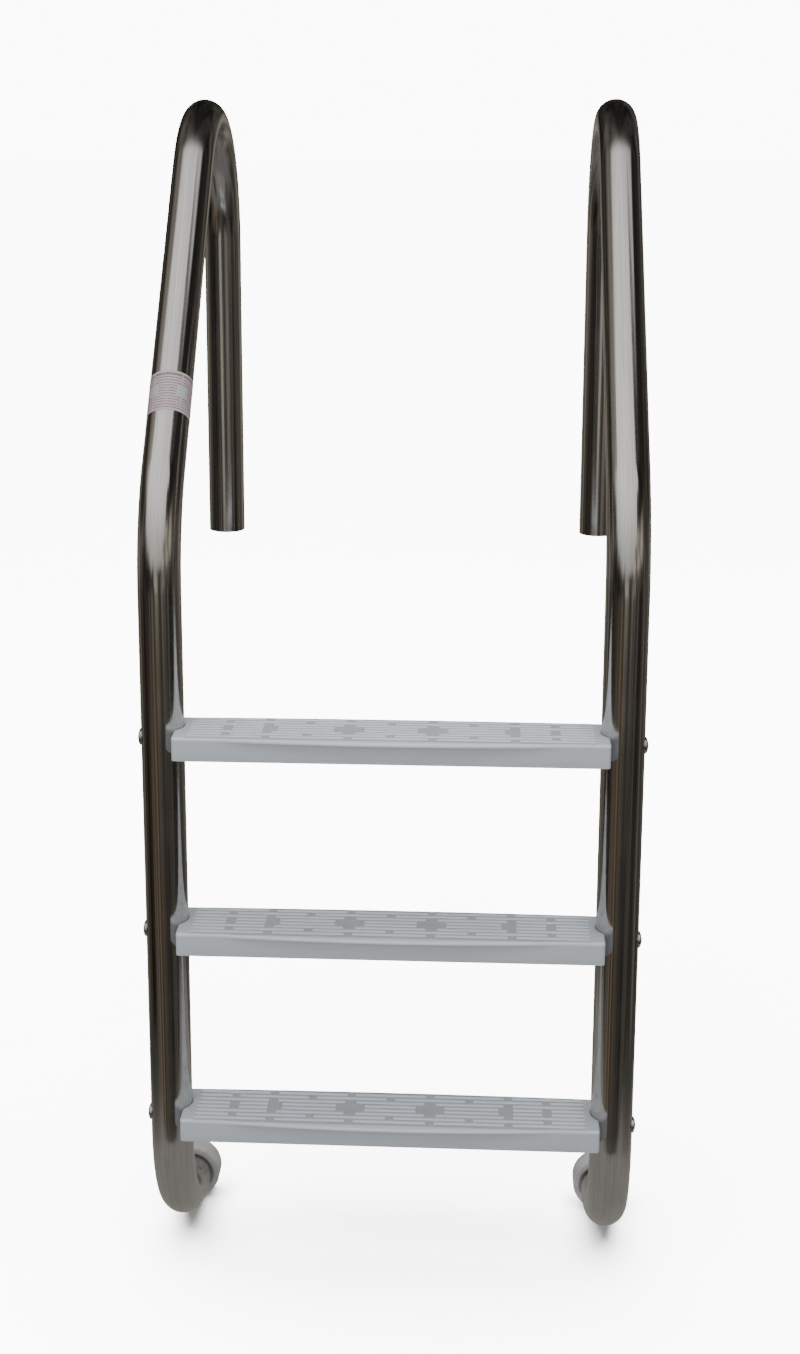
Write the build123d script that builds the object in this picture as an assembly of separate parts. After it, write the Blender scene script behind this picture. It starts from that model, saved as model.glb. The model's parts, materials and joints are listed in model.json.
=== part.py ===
from build123d import *
import math
import os

# In-ground pool ladder: two bent stainless tube rails, three moulded treads bolted between
# them, and a round wall bumper on each toe. Millimetres. +X to the climber's right, +Y from
# the water towards the deck, +Z up. The origin is on the ground plane of the lowest point,
# at the middle of the ladder's width and depth.

# Tube
TUBE_OD = 48.26
TUBE_WALL = 1.65
RAIL_SPACING = 508.0

# Rail outline in its own plane, measured from the foot of the upright leg's centre line
BOTTOM_BEND_R = 140.0
TOE_END = 174.0
LEG_TOP = 785.0
KNEE_R = 188.0
KNEE_ANGLE = 42.0
SLOPE_LENGTH = 428.0
ARCH_R = 157.0
DECK_LEG_END = 728.0

# Treads
TREAD_TOPS = {"bottom": 176.0, "middle": 404.0, "top": 632.0}
TREAD_LENGTH = 477.0
TREAD_FRONT = 45.0
TREAD_BACK = 33.0
TREAD_HEIGHT = 27.5
NOSE_BOW = 9.0
NOSE_HALF = 186.0
NOSE_THICK = 5.0
BACK_BOW = 3.0
DECK_THICK = 3.6
SKIRT_WALL = 3.2
CUP_CLEARANCE = 0.15
TREAD_EDGE_R = 2.0

# Ribs moulded on the tread's top, counted from the back, and the flat pads that interrupt them.
# Each pad: distance from the middle, width, and the ribs that it interrupts. All are mirrored.
RIB_COUNT = 8
RIB_PITCH = 9.05
FIRST_RIB_Y = 25.5
RIB_WIDTH = 4.8
RIB_HEIGHT = 0.8
RIB_END_MARGIN = 16.0
PADS = [
    (0.0, 9.5, (1, 6)),
    (46.0, 9.5, (0, 7)),
    (46.0, 13.5, (2, 5)),
    (46.0, 33.0, (3, 4)),
    (91.0, 9.5, (1, 6)),
    (136.0, 9.5, (0, 7)),
    (136.0, 10.5, (2, 5)),
    (133.0, 16.5, (3, 4)),
    (180.0, 9.5, (1, 6)),
    (180.0, 10.7, (3, 4)),
]

# Stiffeners under the deck and the boss that each bolt clamps
STIFFENER_XS = (-150.0, -75.0, 0.0, 75.0, 150.0)
STIFFENER_THICK = 2.4
STIFFENER_DROP = 19.0
BOSS_WIDTH = 30.0
BOSS_REACH = 12.0

# Fasteners
BOLT_DIAMETER = 7.94
BOLT_HOLE = 8.7
HEAD_DIAMETER = 18.5
HEAD_RIM = 1.2
HEAD_CROWN = 2.4
HEAD_SADDLE = 4.0
SHANK_CHAMFER = 0.8
WASHER_OD = 20.0
WASHER_THICK = 1.6
NUT_FLATS = 12.7
NUT_THICK = 6.7
NUT_CHAMFER = 0.7
THREAD_PAST_NUT = 3.0

# Bumpers
BUMPER_OD = 67.0
BUMPER_LENGTH = 32.0
BUMPER_WALL = 8.0
BUMPER_FACE_R = 6.0
BUMPER_RIM_R = 2.5
BUMPER_MOUTH = 52.0
BUMPER_MOUTH_DEPTH = 3.0
BUMPER_FIT = 0.05

# Plain wrap label on the left rail's slope
LABEL_ALONG = 89.0
LABEL_LENGTH = 52.0
LABEL_THICK = 0.25

# Worked out from the above
TUBE_R = TUBE_OD / 2
RAIL_X = RAIL_SPACING / 2
ANGLE = math.radians(KNEE_ANGLE)
SLOPE_START_Y = KNEE_R * (1 - math.cos(ANGLE))
SLOPE_START_Z = LEG_TOP + KNEE_R * math.sin(ANGLE)
SLOPE_END_Y = SLOPE_START_Y + SLOPE_LENGTH * math.sin(ANGLE)
SLOPE_END_Z = SLOPE_START_Z + SLOPE_LENGTH * math.cos(ANGLE)
ARCH_Y = SLOPE_END_Y + ARCH_R * math.cos(ANGLE)
ARCH_Z = SLOPE_END_Z - ARCH_R * math.sin(ANGLE)
DECK_LEG_Y = ARCH_Y + ARCH_R
FRONT_Y = -(TREAD_FRONT + NOSE_BOW)
BACK_Y = DECK_LEG_Y + TUBE_R
OFFSET_Y = -(FRONT_Y + BACK_Y) / 2
OFFSET_Z = BUMPER_OD / 2
SIDES = {"left": -1, "right": 1}
BOLT_DROP = TREAD_HEIGHT / 2
CUP_FACE = RAIL_X - TUBE_R - CUP_CLEARANCE
CLAMP_FACE = CUP_FACE - BOSS_REACH
STAND = (Align.CENTER, Align.CENTER, Align.MIN)


def place(shape):
    """Move a shape from the rail outline's frame to the ladder's own frame."""
    return Pos(0, OFFSET_Y, OFFSET_Z) * shape


def ring(radius):
    return Circle(radius) - Circle(radius - TUBE_WALL)


def rail_outline():
    """Centre line: toe, bottom bend, upright leg, knee, slope, arch and deck leg."""
    toe = Line((TOE_END, 0), (BOTTOM_BEND_R, 0))
    bend = JernArc(start=toe @ 1, tangent=toe % 1, radius=BOTTOM_BEND_R, arc_size=-90)
    leg = Line(bend @ 1, (0, LEG_TOP))
    knee = JernArc(start=leg @ 1, tangent=leg % 1, radius=KNEE_R, arc_size=-KNEE_ANGLE)
    slope = Line(knee @ 1, (SLOPE_END_Y, SLOPE_END_Z))
    arch = JernArc(start=slope @ 1, tangent=slope % 1, radius=ARCH_R, arc_size=KNEE_ANGLE - 180)
    drop = Line(arch @ 1, (DECK_LEG_Y, DECK_LEG_END))
    return Plane.YZ * Wire([toe, bend, leg, knee, slope, arch, drop])


def make_rail(side):
    path = rail_outline()
    start = Plane(origin=path @ 0, z_dir=path % 0)
    rail = sweep(start * ring(TUBE_R), path=path)
    for top in TREAD_TOPS.values():
        hole = Pos(0, 0, top - BOLT_DROP) * Rot(0, 90, 0) * Cylinder(BOLT_HOLE / 2, 2 * TUBE_OD)
        rail = rail - hole
    return place(Pos(side * RAIL_X, 0, 0) * rail)


def tread_outline(inset, nose):
    """Plan of a tread, pulled in by inset, with or without the bowed nose."""
    half = TREAD_LENGTH / 2 - inset
    front = -TREAD_FRONT + inset
    back = TREAD_BACK - inset
    right_end = Line((half, front), (half, back))
    back_edge = ThreePointArc((half, back), (0, back + BACK_BOW), (-half, back))
    left_end = Line((-half, back), (-half, front))
    if nose:
        left_front = Line((-half, front), (-NOSE_HALF, front))
        nose_edge = ThreePointArc((-NOSE_HALF, front), (0, front - NOSE_BOW), (NOSE_HALF, front))
        right_front = Line((NOSE_HALF, front), (half, front))
        front_edges = [left_front, nose_edge, right_front]
    else:
        front_edges = [Line((-half, front), (half, front))]
    outline = make_face(Wire([right_end, back_edge, left_end] + front_edges))
    for side in SIDES.values():
        cup = TUBE_R + CUP_CLEARANCE + inset
        outline -= Pos(side * RAIL_X, 0) * Circle(cup)
    return outline


def slab(outline, top, thickness):
    """A flat layer of the given plan whose upper face is at the given height."""
    return extrude(Pos(0, 0, top - thickness) * outline, amount=thickness)


def make_tread(top):
    shell = slab(tread_outline(0, False), top, TREAD_HEIGHT)
    shell += slab(tread_outline(0, True), top, NOSE_THICK)
    shell = fillet(shell.faces().sort_by(Axis.Z)[-1].edges(), TREAD_EDGE_R)
    hollow_top = top - DECK_THICK
    hollow = slab(tread_outline(SKIRT_WALL, False), hollow_top, TREAD_HEIGHT)
    shell -= hollow
    inside = slab(tread_outline(SKIRT_WALL / 2, False), top, TREAD_HEIGHT)
    depth = TREAD_FRONT + TREAD_BACK + BACK_BOW
    for x in STIFFENER_XS:
        web = Box(STIFFENER_THICK, 2 * depth, STIFFENER_DROP)
        shell += (Pos(x, 0, hollow_top - STIFFENER_DROP / 2) * web) & inside
    for side in SIDES.values():
        boss_length = BOSS_REACH + TUBE_R
        boss_height = TREAD_HEIGHT - DECK_THICK
        boss = Box(boss_length, BOSS_WIDTH, boss_height)
        boss = Pos(side * (CLAMP_FACE + boss_length / 2), 0, hollow_top - boss_height / 2) * boss
        shell += boss & inside
        hole = Rot(0, 90, 0) * Cylinder(BOLT_HOLE / 2, 4 * TUBE_R)
        shell -= Pos(side * CLAMP_FACE, 0, top - BOLT_DROP) * hole
    shell += tread_ribs(top)
    return place(shell)


def rib_spans(index):
    """The stretches of one rib, from end to end of the tread, between the pads it meets."""
    gaps = []
    for distance, width, ribs in PADS:
        if index in ribs:
            for centre in {distance, -distance}:
                gaps.append((centre - width / 2, centre + width / 2))
    half = TREAD_LENGTH / 2 - RIB_END_MARGIN
    starts = [-half] + [end for _, end in sorted(gaps)]
    ends = [start for start, _ in sorted(gaps)] + [half]
    return list(zip(starts, ends))


def tread_ribs(top):
    """Low straight ribs along the tread that keep a wet foot from slipping."""
    ribs = []
    for index in range(RIB_COUNT):
        y = FIRST_RIB_Y - index * RIB_PITCH
        for start, end in rib_spans(index):
            bar = Box(end - start, RIB_WIDTH, RIB_HEIGHT, align=STAND)
            ribs.append(Pos((start + end) / 2, y, top) * bar)
    return ribs


def along_bolt(side, top, shape):
    """Turn a shape made along +Z to lie along a bolt's axis, pointing away from the middle."""
    turned = Rot(0, 0, 90 - 90 * side) * Rot(0, 90, 0) * shape
    return place(Pos(0, 0, top - BOLT_DROP) * turned)


def make_bolt(side, top):
    """Low domed head shaped to sit on the tube, with a plain shank through tube and boss."""
    seat = RAIL_X + TUBE_R
    tip = CLAMP_FACE - WASHER_THICK - NUT_THICK - THREAD_PAST_NUT
    head_r = HEAD_DIAMETER / 2
    crown_r = (head_r**2 + HEAD_CROWN**2) / (2 * HEAD_CROWN)
    drum_length = HEAD_SADDLE + HEAD_RIM + HEAD_CROWN
    drum = Pos(0, 0, seat - HEAD_SADDLE) * Cylinder(head_r, drum_length, align=STAND)
    dome = Pos(0, 0, seat + HEAD_RIM + HEAD_CROWN - crown_r) * Sphere(crown_r)
    tube = Pos(0, 0, RAIL_X) * Rot(0, 90, 0) * Cylinder(TUBE_R, 2 * HEAD_DIAMETER)
    shank = Cylinder(BOLT_DIAMETER / 2, seat - tip + HEAD_RIM, align=STAND)
    shank = chamfer(shank.edges().sort_by(Axis.Z)[0], SHANK_CHAMFER)
    bolt = (drum & dome) - tube + Pos(0, 0, tip) * shank
    return along_bolt(side, top, bolt)


def make_washer(side, top):
    disc = Circle(WASHER_OD / 2) - Circle(BOLT_HOLE / 2)
    washer = extrude(Pos(0, 0, CLAMP_FACE - WASHER_THICK) * disc, amount=WASHER_THICK)
    return along_bolt(side, top, washer)


def make_nut(side, top):
    corner_r = NUT_FLATS / math.sqrt(3)
    blank = Cylinder(corner_r, NUT_THICK, align=STAND)
    blank = chamfer(blank.edges(), NUT_CHAMFER)
    hexagon = extrude(RegularPolygon(corner_r, 6), amount=NUT_THICK)
    nut = (blank & hexagon) - Cylinder(BOLT_DIAMETER / 2, 4 * NUT_THICK)
    return along_bolt(side, top, Pos(0, 0, CLAMP_FACE - WASHER_THICK - NUT_THICK) * nut)


def make_bumper(side):
    """Soft cup pushed over the toe, whose closed end rests against the pool wall."""
    cup = Cylinder(BUMPER_OD / 2, BUMPER_LENGTH, align=STAND)
    cup = fillet(cup.edges().sort_by(Axis.Z)[-1], BUMPER_FACE_R)
    cup = fillet(cup.edges().sort_by(Axis.Z)[0], BUMPER_RIM_R)
    cup -= Cylinder(TUBE_R + BUMPER_FIT, BUMPER_LENGTH - BUMPER_WALL, align=STAND)
    cup -= Cylinder(BUMPER_MOUTH / 2, BUMPER_MOUTH_DEPTH, align=STAND)
    front = TOE_END + BUMPER_WALL - BUMPER_LENGTH
    return place(Pos(side * RAIL_X, front, 0) * Rot(-90, 0, 0) * cup)


def make_label():
    """Thin blank band wrapped round the left rail just above the knee."""
    band = Circle(TUBE_R + LABEL_THICK) - Circle(TUBE_R)
    start = LABEL_ALONG - LABEL_LENGTH / 2
    y = SLOPE_START_Y + start * math.sin(ANGLE)
    z = SLOPE_START_Z + start * math.cos(ANGLE)
    plane = Plane(origin=(-RAIL_X, y, z), z_dir=(0, math.sin(ANGLE), math.cos(ANGLE)))
    return place(extrude(plane * band, amount=LABEL_LENGTH))


def build():
    """Every piece of the ladder by its name."""
    pieces = {"rail_label": make_label()}
    for side_name, side in SIDES.items():
        pieces[f"{side_name}_rail"] = make_rail(side)
        pieces[f"{side_name}_bumper"] = make_bumper(side)
    for level, top in TREAD_TOPS.items():
        pieces[f"{level}_tread"] = make_tread(top)
        for side_name, side in SIDES.items():
            pieces[f"{level}_{side_name}_bolt"] = make_bolt(side, top)
            pieces[f"{level}_{side_name}_washer"] = make_washer(side, top)
            pieces[f"{level}_{side_name}_nut"] = make_nut(side, top)
    return pieces


os.makedirs("parts", exist_ok=True)
for name, piece in build().items():
    export_step(piece, f"parts/{name}.step")
print("deck leg from z", round(DECK_LEG_END + OFFSET_Z, 3), "to", round(ARCH_Z + OFFSET_Z, 3))
print("deck leg y", round(DECK_LEG_Y + OFFSET_Y, 3))
print("bumper face y", round(TOE_END + BUMPER_WALL + OFFSET_Y, 3))
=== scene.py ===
import json
import math

import bmesh
import bpy
from mathutils import Matrix, Vector


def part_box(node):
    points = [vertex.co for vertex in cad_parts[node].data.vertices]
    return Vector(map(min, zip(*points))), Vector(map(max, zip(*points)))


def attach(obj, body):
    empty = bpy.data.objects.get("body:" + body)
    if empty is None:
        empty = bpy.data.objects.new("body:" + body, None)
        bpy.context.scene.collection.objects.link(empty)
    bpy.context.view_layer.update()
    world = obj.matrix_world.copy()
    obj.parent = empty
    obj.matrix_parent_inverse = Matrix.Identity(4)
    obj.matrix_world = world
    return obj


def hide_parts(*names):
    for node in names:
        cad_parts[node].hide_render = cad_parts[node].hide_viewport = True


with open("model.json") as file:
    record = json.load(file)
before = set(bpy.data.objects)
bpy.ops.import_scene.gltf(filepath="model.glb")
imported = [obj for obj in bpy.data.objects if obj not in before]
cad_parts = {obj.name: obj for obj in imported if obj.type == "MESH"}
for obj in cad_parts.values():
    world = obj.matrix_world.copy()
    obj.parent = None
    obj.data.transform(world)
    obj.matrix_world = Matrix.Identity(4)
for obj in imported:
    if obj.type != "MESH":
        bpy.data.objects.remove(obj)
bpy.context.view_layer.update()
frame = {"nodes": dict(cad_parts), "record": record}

# In-ground pool ladder: two bent stainless rails, three moulded treads, their bolts, and a
# vinyl bumper on each toe. Metres. +X to the climber's right, +Y towards the deck, +Z up.

# ---------------------------------------------------------------------------------------
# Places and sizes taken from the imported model
# ---------------------------------------------------------------------------------------

SIDES = {"left": -1, "right": 1}
LEVELS = ("bottom", "middle", "top")
MOUNTS = {mount["name"]: mount for mount in frame["record"]["mounts"]}

rail_low, rail_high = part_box("right_rail")
TUBE_R = (rail_high.x - rail_low.x) / 2
RAIL_X = (rail_high.x + rail_low.x) / 2
LEG_Y = rail_low.y + TUBE_R
FOOT_Z = rail_low.z + TUBE_R
DECK_LEG_Y = rail_high.y - TUBE_R
DECK_LEG_END_Z = MOUNTS["right_deck_leg"]["pos_m"][2]
ARCH_TOP_Z = rail_high.z - TUBE_R
WALL_FACE_Y = MOUNTS["right_bumper_face"]["pos_m"][1]

# ---------------------------------------------------------------------------------------
# Driving dimensions of the shapes that are made here
# ---------------------------------------------------------------------------------------

# Vertices nearer to each other than this are merged
MERGE_DISTANCE = 1e-6
# Half the width of the soft edge round a printed, stippled or grimy patch
SOFT_EDGE = 0.0002

# Rail outline
TUBE_WALL = 0.00165
BOTTOM_BEND_R = 0.140
KNEE_R = 0.188
KNEE_ANGLE = 42
ARCH_R = 0.157
BUMPER_WALL = 0.008
TUBE_DEBURR = 0.0004
TUBE_SEGMENTS = 112
RUN_STEP = 0.02
BEND_STEP = 1.5

# Treads
TREAD_LENGTH = 0.477
TREAD_FRONT = 0.045
TREAD_BACK = 0.033
TREAD_HEIGHT = 0.0275
SKIRT_WALL = 0.0032
DECK_THICK = 0.0036
NOSE_BOW = 0.009
NOSE_HALF = 0.186
NOSE_THICK = 0.005
NOSE_LIP_R = 0.0014
BACK_BOW = 0.003
# The cove under the nose: distance below its lip, and the share of the bow that is left there
NOSE_COVE = (
    (0.0001, 0.60), (0.0004, 0.48), (0.0010, 0.39), (0.0020, 0.30), (0.0034, 0.21),
    (0.0052, 0.13), (0.0074, 0.06), (0.0098, 0.015), (0.0124, 0.0),
)
CUP_CLEARANCE = 0.00015
CORNER_R = 0.0034
CUP_CORNER_R = 0.0015
SMALLEST_CORNER_R = 0.0003
TOP_EDGE_R = 0.003
FOOT_EDGE_R = 0.0008
CEILING_FILLET = 0.0015
# The rounding of the top pulls the front in by all of its radius, and the rest by a share of it
END_SHARE = 0.6
BACK_SHARE = 0.7
CUP_SHARE = 0.3
FRONT_STEPS = 40
CORNER_STEPS = 5
TIP_STEPS = 4
CUP_STEPS = 28
BACK_STEPS = 16
WEB_XS = (-0.150, -0.075, 0.0, 0.075, 0.150)
WEB_THICK = 0.0024
WEB_DROP = 0.019
BOSS_WIDTH = 0.030
BOSS_REACH = 0.012
BOLT_HOLE_R = 0.00435
BOLT_HOLE_SEGMENTS = 48
BOLT_DROP = TREAD_HEIGHT / 2

# Ribs on the treads, counted from the back
RIB_COUNT = 8
RIB_PITCH = 0.00905
FIRST_RIB_Y = 0.0255
RIB_WIDTH = 0.0048
RIB_HEIGHT = 0.0008
RIB_END_MARGIN = 0.016
RIB_CORNER_R = 0.0009
# Inset and height of each loop of a rib, from its foot to its top
RIB_PROFILE = (
    (-0.0003, 0.0), (0.0, 0.0002), (0.0001, 0.0005), (0.0003, 0.0007), (0.0006, RIB_HEIGHT),
)
# Width of the strip of painted shade in front of the last rib, for a groove that isn't modelled
FRONT_SHADE_STRIP = 0.0056
# Flat pads that interrupt the ribs, each with its mirror image: distance from the middle, width,
# and the ribs that it interrupts
PADS = [
    (0.000, 0.0095, (1, 6)),
    (0.046, 0.0095, (0, 7)),
    (0.046, 0.0135, (2, 5)),
    (0.046, 0.0330, (3, 4)),
    (0.091, 0.0095, (1, 6)),
    (0.136, 0.0095, (0, 7)),
    (0.136, 0.0105, (2, 5)),
    (0.133, 0.0165, (3, 4)),
    (0.180, 0.0095, (1, 6)),
    (0.180, 0.0107, (3, 4)),
]

# Bumpers
BUMPER_FACE_R = 0.006
BUMPER_RIM_R = 0.0025
BUMPER_MOUTH_R = 0.026
BUMPER_MOUTH_DEPTH = 0.003
BUMPER_LIP_R = 0.0012
BUMPER_BORE_CHAMFER = 0.0006
BUMPER_CLEARANCE = 0.00005
BUMPER_FACE_RINGS = (0.0, 0.010, 0.020)
BUMPER_END_RINGS = (0.012, 0.0)
BUMPER_SEGMENTS = 96

# Label: its outer and inner face above the tube, and its edge
LABEL_LIFT = 0.00022
LABEL_GAP = 0.00002
LABEL_EDGE = 0.00012
LABEL_SEGMENTS = 96

# Camera: angles in radians, place from the foot of the legs, lens in millimetres
CAMERA_YAW = -0.0625
CAMERA_PITCH = 0.2434
CAMERA_ROLL = -0.0015
CAMERA_PLACE = (0.0938, LEG_Y - 2.1810, FOOT_Z + 1.3106)
CAMERA_SENSOR = 36.0
CAMERA_LENS = 55.07
CAMERA_SHIFT = (0.035, -0.0505)

# Studio: the floor, and the mat under the toes that only the steel mirrors
FLOOR_REACH = 40.0
MAT_HALF_WIDTH = 0.90
MAT_FRONT = LEG_Y - 0.30
MAT_BACK = 0.15
MAT_LIFT = 0.0005

# Surroundings that the steel mirrors: a sky over the skyline, and below it upright strips, in
# layers from the ground up. Every list goes round by bearing in degrees, from +Y towards +X,
# and gives a height in degrees or a brightness.
SKYLINE = (
    (-180, 4), (-150, 3), (-118, 12), (-98, 25), (-90, 36), (-80, 49), (-60, 52), (60, 45),
    (80, 46), (90, 54), (97, 66), (107, 66), (112, 44), (126, 45), (140, 24), (158, 7), (180, 4),
)
NEAR_GROUND = (
    (-180, 0.060), (-170, 0.075), (-160, 0.045), (-152, 0.110), (-143, 0.150), (-132, 0.110),
    (-124, 0.080), (-116, 0.030), (-100, 0.022), (-88, 0.030), (-70, 0.090), (-54, 0.125),
    (-30, 0.150), (0, 0.140), (28, 0.170), (46, 0.090), (62, 0.060), (76, 0.090),
    (86, 0.150), (96, 0.040), (110, 0.024), (118, 0.040), (126, 0.085), (134, 0.040),
    (142, 0.090), (150, 0.035), (158, 0.060), (166, 0.030), (180, 0.060),
)
HORIZON = (
    (-180, 0.16), (-173, 0.34), (-166, 0.26), (-158, 0.09), (-148, 0.024), (-112, 0.026),
    (-98, 0.040), (-88, 0.090), (-66, 0.17), (-30, 0.18), (0, 0.20), (30, 0.19), (50, 0.15),
    (66, 0.06), (76, 0.12), (84, 0.05), (94, 0.20), (102, 0.04), (112, 0.035), (120, 0.09),
    (128, 0.12), (136, 0.13), (143, 0.34), (149, 0.12), (157, 0.20), (164, 0.06), (173, 0.06),
    (180, 0.16),
)
TREE_FEET = (
    (-180, 0.30), (-120, 0.08), (-92, 0.09), (-70, 0.05), (0, 0.025), (40, 0.10), (55, 0.07),
    (75, 0.05), (96, 0.07), (106, 0.30), (120, 0.42), (150, 0.42), (180, 0.30),
)
TREE_TOPS = (
    (-180, 0.10), (-100, 0.26), (-84, 0.26), (-75, 0.15), (-60, 0.10), (-45, 0.09), (-20, 0.020),
    (20, 0.016), (45, 0.05), (60, 0.03), (72, 0.018), (112, 0.020), (130, 0.06), (180, 0.10),
)

# ---------------------------------------------------------------------------------------
# Mesh helpers
# ---------------------------------------------------------------------------------------


def make_object(name, points, faces, smooth_angle=35):
    """A mesh object whose faces are smooth, with creases kept sharp."""
    mesh = bpy.data.meshes.new(name)
    mesh.from_pydata(points, [], faces)
    mesh.validate()
    finish_mesh(mesh, smooth_angle)
    piece = bpy.data.objects.new(name, mesh)
    bpy.context.scene.collection.objects.link(piece)
    return piece


def finish_mesh(mesh, smooth_angle):
    """Point all faces outwards and smooth them up to an angle."""
    work = bmesh.new()
    work.from_mesh(mesh)
    bmesh.ops.remove_doubles(work, verts=work.verts, dist=MERGE_DISTANCE)
    bmesh.ops.recalc_face_normals(work, faces=work.faces)
    work.to_mesh(mesh)
    work.free()
    mesh.polygons.foreach_set("use_smooth", [True] * len(mesh.polygons))
    mesh.set_sharp_from_angle(angle=math.radians(smooth_angle))


def bridge(loops, closed=False):
    """Quads between neighbouring loops that have the same number of points."""
    count = len(loops[0])
    faces = []
    pairs = len(loops) if closed else len(loops) - 1
    for row in range(pairs):
        here = row * count
        there = (row + 1) % len(loops) * count
        for step in range(count):
            after = (step + 1) % count
            faces.append((here + step, here + after, there + after, there + step))
    return faces


def arc(radius, first, last, steps):
    """Points (cos, sin) * radius from one angle to another, both ends included."""
    angles = [math.radians(first + (last - first) * i / steps) for i in range(steps + 1)]
    return [(radius * math.cos(a), radius * math.sin(a)) for a in angles]


def circle(radius, segments):
    """Points (cos, sin) * radius all the way round, without the first one again."""
    return arc(radius, 0, 360 - 360 / segments, segments - 1)


def store_places(mesh, name, places):
    """Keep a place for each vertex, which a material reads by name."""
    layer = mesh.attributes.new(name, "FLOAT_VECTOR", "POINT")
    layer.data.foreach_set("vector", [value for place in places for value in place])


def settle(piece, slot, material, *nodes):
    """Ride on the one body, stand for the CAD nodes, and take a material. The finish's name, slot,
    is not used.
    """
    piece.data.materials.clear()
    piece.data.materials.append(material)
    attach(piece, "root")
    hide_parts(*nodes)


# ---------------------------------------------------------------------------------------
# Material helpers
# ---------------------------------------------------------------------------------------


def add_node(tree, kind, settings, inputs):
    """Add a shader node. An input's value is a number, a colour or another node's output."""
    node = tree.nodes.new(kind)
    for key, value in settings.items():
        setattr(node, key, value)
    for key, value in inputs.items():
        if isinstance(value, bpy.types.NodeSocket):
            tree.links.new(value, node.inputs[key])
        else:
            node.inputs[key].default_value = value
    return node


def maths(tree, operation, first, second=0.0, third=0.0):
    """One step of arithmetic on numbers or outputs."""
    inputs = {0: first, 1: second, 2: third}
    return add_node(tree, "ShaderNodeMath", {"operation": operation}, inputs).outputs[0]


def remap(tree, value, low, high, to_low, to_high):
    """Map a range smoothly to another, and hold it at both ends."""
    inputs = {"Value": value, "From Min": low, "From Max": high}
    inputs |= {"To Min": to_low, "To Max": to_high}
    node = add_node(tree, "ShaderNodeMapRange", {"interpolation_type": "SMOOTHSTEP"}, inputs)
    return node.outputs["Result"]


def noise(tree, place, scale, detail=2.0, roughness=0.5):
    inputs = {"Vector": place, "Scale": scale, "Detail": detail, "Roughness": roughness}
    return add_node(tree, "ShaderNodeTexNoise", {}, inputs).outputs["Fac"]


def stretched(tree, place, scale):
    """A place scaled apart along each axis, so that a texture gets longer or shorter there."""
    inputs = {"Vector": place, "Scale": scale}
    node = add_node(tree, "ShaderNodeMapping", {"vector_type": "POINT"}, inputs)
    return node.outputs["Vector"]


def stored_place(tree, name):
    """The place that store_places kept for each vertex."""
    node = add_node(tree, "ShaderNodeAttribute", {"attribute_name": name}, {})
    return node.outputs["Vector"]


def object_place(tree):
    return add_node(tree, "ShaderNodeTexCoord", {}, {}).outputs["Object"]


def split(tree, vector):
    """The three parts of a vector."""
    node = add_node(tree, "ShaderNodeSeparateXYZ", {}, {"Vector": vector})
    return [node.outputs[axis] for axis in "XYZ"]


def combined(tree, x, y=0.0):
    return add_node(tree, "ShaderNodeCombineXYZ", {}, {"X": x, "Y": y}).outputs["Vector"]


def scaled(tree, colour, factor):
    """A colour made brighter or darker by a factor."""
    inputs = {0: colour, "Scale": factor}
    return add_node(tree, "ShaderNodeVectorMath", {"operation": "SCALE"}, inputs).outputs["Vector"]


def blend_colours(tree, factor, first, second):
    """The first colour at a factor of 0 and the second at 1."""
    inputs = {"Factor": factor, 6: first, 7: second}
    return add_node(tree, "ShaderNodeMix", {"data_type": "RGBA"}, inputs).outputs[2]


def bump(tree, height, distance, strength=1.0, normal=None):
    """A normal that a height in 0..1 tilts, over the given distance in metres."""
    inputs = {"Height": height, "Distance": distance, "Strength": strength}
    if normal is not None:
        inputs["Normal"] = normal
    return add_node(tree, "ShaderNodeBump", {}, inputs).outputs["Normal"]


def new_material(name):
    """An empty material and its principled shader, already linked to the output."""
    material = bpy.data.materials.new(name)
    material.use_nodes = True
    tree = material.node_tree
    tree.nodes.clear()
    shader = tree.nodes.new("ShaderNodeBsdfPrincipled")
    output = tree.nodes.new("ShaderNodeOutputMaterial")
    tree.links.new(shader.outputs["BSDF"], output.inputs["Surface"])
    return material, tree, shader


def feed(tree, shader, name, socket):
    tree.links.new(socket, shader.inputs[name])


# ---------------------------------------------------------------------------------------
# Materials
# ---------------------------------------------------------------------------------------


def steel_material():
    """Belt-polished stainless tube: drawing streaks along it, fine marks around it, smudges."""
    material, tree, shader = new_material("rail_steel")
    place = stored_place(tree, "tube_place")
    broad = noise(tree, stretched(tree, place, (1.0, 1.0, 0.02)), 95, 2)
    fine = noise(tree, stretched(tree, place, (1.0, 1.0, 0.012)), 900, 3, 0.6)
    marks = noise(tree, stretched(tree, place, (0.06, 0.06, 1.0)), 2600, 2)
    smudges = noise(tree, place, 11, 4, 0.55)
    streaks = maths(tree, "MULTIPLY_ADD", broad, 0.40, maths(tree, "MULTIPLY", fine, 0.60))
    colour = blend_colours(tree, remap(tree, streaks, 0.36, 0.62, 0, 1),
                           (0.545, 0.525, 0.50, 1), (0.625, 0.61, 0.585, 1))
    rough = maths(tree, "MULTIPLY_ADD", remap(tree, smudges, 0.35, 0.7, 0, 1), 0.05,
                  remap(tree, streaks, 0.35, 0.65, 0.15, 0.09))
    feed(tree, shader, "Base Color", colour)
    feed(tree, shader, "Roughness", rough)
    height = maths(tree, "MULTIPLY_ADD", marks, 0.25, streaks)
    feed(tree, shader, "Normal", bump(tree, height, 0.00004, 0.6))
    along_tube = {"direction_type": "UV_MAP", "uv_map": "tube"}
    feed(tree, shader, "Tangent", add_node(tree, "ShaderNodeTangent", along_tube, {}).outputs[0])
    shader.inputs["Metallic"].default_value = 1.0
    shader.inputs["Anisotropic"].default_value = 0.6
    return material


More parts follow.
